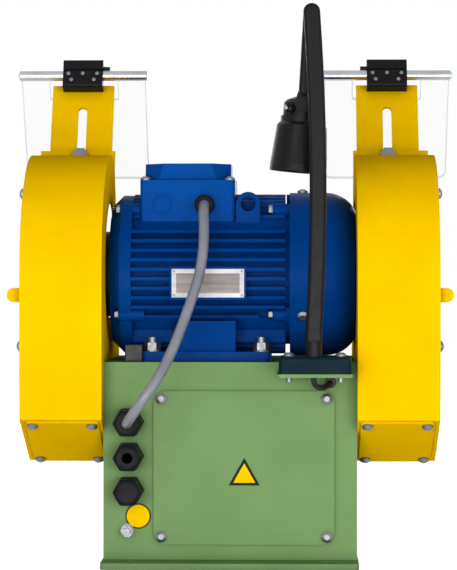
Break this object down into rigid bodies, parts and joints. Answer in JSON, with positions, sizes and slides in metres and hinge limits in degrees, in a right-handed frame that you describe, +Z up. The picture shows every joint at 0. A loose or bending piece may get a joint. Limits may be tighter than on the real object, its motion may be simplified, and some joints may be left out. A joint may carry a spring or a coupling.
{
  "type": "bench grinder",
  "caption": "Double-wheel bench grinder on a sheet-metal cabinet, with hooded wheel guards, tilting clear eye shields, tool rests and a jointed work lamp.",
  "frame": {"origin": "centre of the base plate's underside, between its four anchor holes", "axes": "+X along the spindle to the right in the picture, +Y to the operator's side, +Z up"},
  "size_m": [0.423, 0.3, 0.5035],
  "materials": {
    "green_paint": "satin machine enamel, light grey-green",
    "dark_green_paint": "satin machine enamel on the floor plate",
    "yellow_paint": "gloss signal-yellow enamel",
    "blue_paint": "gloss blue motor enamel",
    "blue_box_paint": "gloss blue enamel on the terminal box",
    "black_plastic": "moulded, matt",
    "black_enamel": "satin black enamel",
    "lamp_base_plastic": "moulded, satin",
    "steel": "zinc plated",
    "bright_steel": "polished",
    "machined_steel": "ground bar and turned parts",
    "lamination": "stacked sheets",
    "copper": "enamelled copper wire",
    "abrasive": "bonded grey abrasive grain",
    "clear_sheet": "clear polycarbonate sheet",
    "plate": "bare brushed plate",
    "lead_sheath": "grey sheathed lead",
    "black_sheath": "black sheathed lead",
    "red_plastic": "moulded mushroom cap",
    "green_plastic": "moulded cap",
    "bulb_glass": "frosted",
    "fan_plastic": "moulded"
  },
  "bodies": {
    "base": {"base_plate": "dark_green_paint", "cabinet_shell": "green_paint", "access_panel": "green_paint", "cabinet_screws": "steel", "cable_glands": "black_plastic", "gland_nuts": "black_plastic", "earth_stud": "steel", "gear_plate": "steel", "contactor": "black_plastic", "lamp_transformer": "lamination", "push_button_bodies": "black_plastic", "stator_housing": "blue_paint", "stator_core": "lamination", "windings": "copper", "drive_end_shield": "blue_paint", "fan_end_shield": "blue_paint", "bearings": "machined_steel", "fan_cowl": "blue_paint", "motor_screws": "steel", "terminal_box": "blue_box_paint", "terminal_box_lid": "blue_box_paint", "terminal_block": "black_plastic", "terminal_gland": "black_plastic", "nameplate": "plate", "foot_bolts": "steel", "motor_lead": "lead_sheath", "side_covers": "yellow_paint", "hopper_covers": "yellow_paint", "guard_screws": "steel", "guard_bolts": "steel", "rest_brackets": "yellow_paint", "lamp_shelf": "green_paint", "lamp_base": "lamp_base_plastic", "lamp_cable": "black_sheath", "left_guard": "yellow_paint", "right_guard": "yellow_paint"},
    "spindle": {"shaft": "machined_steel", "rotor_core": "lamination", "cooling_fan": "fan_plastic", "grinding_wheels": "abrasive", "wheel_flanges": "machined_steel", "spindle_nuts": "steel"},
    "lamp_lower": {"lamp_lower_arm": "black_enamel"},
    "lamp_upper": {"lamp_upper_arm": "black_enamel"},
    "lamp_head_body": {"lamp_head": "black_enamel", "lamp_shade": "black_enamel", "lamp_bulb": "bulb_glass"},
    "lamp_toggle": {"lamp_switch": "bright_steel"},
    "start_push": {"start_button": "green_plastic"},
    "stop_push": {"stop_button": "red_plastic"},
    "left_arm": {"left_shield_arm": "yellow_paint", "left_hinge_block": "black_enamel"},
    "left_shield": {"left_shield_rod": "bright_steel", "left_eye_shield": "clear_sheet"},
    "left_rest": {"left_tool_rest": "machined_steel"},
    "right_arm": {"right_shield_arm": "yellow_paint", "right_hinge_block": "black_enamel"},
    "right_shield": {"right_shield_rod": "bright_steel", "right_eye_shield": "clear_sheet"},
    "right_rest": {"right_tool_rest": "machined_steel"}
  },
  "joints": [
    {"name": "spindle_spin", "type": "hinge", "parent": "base", "child": "spindle", "pos_m": [0, 0, 0.265], "axis": [1, 0, 0], "continuous": true},
    {"name": "left_arm_slide", "type": "slide", "parent": "base", "child": "left_arm", "axis": [0, 0.4226, 0.9063], "range_m": [-0.009, 0.003]},
    {"name": "left_shield_tilt", "type": "hinge", "parent": "left_arm", "child": "left_shield", "pos_m": [-0.1485, 0.08283, 0.45919], "axis": [1, 0, 0], "range_deg": [-15, 95]},
    {"name": "left_rest_slide", "type": "slide", "parent": "base", "child": "left_rest", "axis": [0, 1, 0], "range_m": [-0.001, 0.009]},
    {"name": "right_arm_slide", "type": "slide", "parent": "base", "child": "right_arm", "axis": [0, 0.4226, 0.9063], "range_m": [-0.009, 0.003]},
    {"name": "right_shield_tilt", "type": "hinge", "parent": "right_arm", "child": "right_shield", "pos_m": [0.1485, 0.08283, 0.45919], "axis": [1, 0, 0], "range_deg": [-15, 95]},
    {"name": "right_rest_slide", "type": "slide", "parent": "base", "child": "right_rest", "axis": [0, 1, 0], "range_m": [-0.001, 0.009]},
    {"name": "lamp_swivel", "type": "hinge", "parent": "base", "child": "lamp_lower", "pos_m": [0.0755, -0.146, 0.192], "axis": [0, 0, 1], "range_deg": [-170, 170]},
    {"name": "lamp_elbow", "type": "hinge", "parent": "lamp_lower", "child": "lamp_upper", "pos_m": [0.0735, -0.135, 0.496], "axis": [0, 1, 0], "range_deg": [-20, 140]},
    {"name": "lamp_head_tilt", "type": "hinge", "parent": "lamp_upper", "child": "lamp_head_body", "pos_m": [0.06757, -0.117, 0.42826], "axis": [0, 1, 0], "range_deg": [-60, 60]},
    {"name": "lamp_switch_tip", "type": "hinge", "parent": "lamp_head_body", "child": "lamp_toggle", "pos_m": [0.05409, -0.1252, 0.41237], "axis": [-0.816, 0.5736, 0.0714], "range_deg": [-12, 12]},
    {"name": "start_press", "type": "slide", "parent": "base", "child": "start_push", "axis": [0, -1, 0], "range_m": [0, 0.004], "stiffness_N_per_m": 400},
    {"name": "stop_press", "type": "slide", "parent": "base", "child": "stop_push", "axis": [0, -1, 0], "range_m": [0, 0.004], "stiffness_N_per_m": 400}
  ]
}
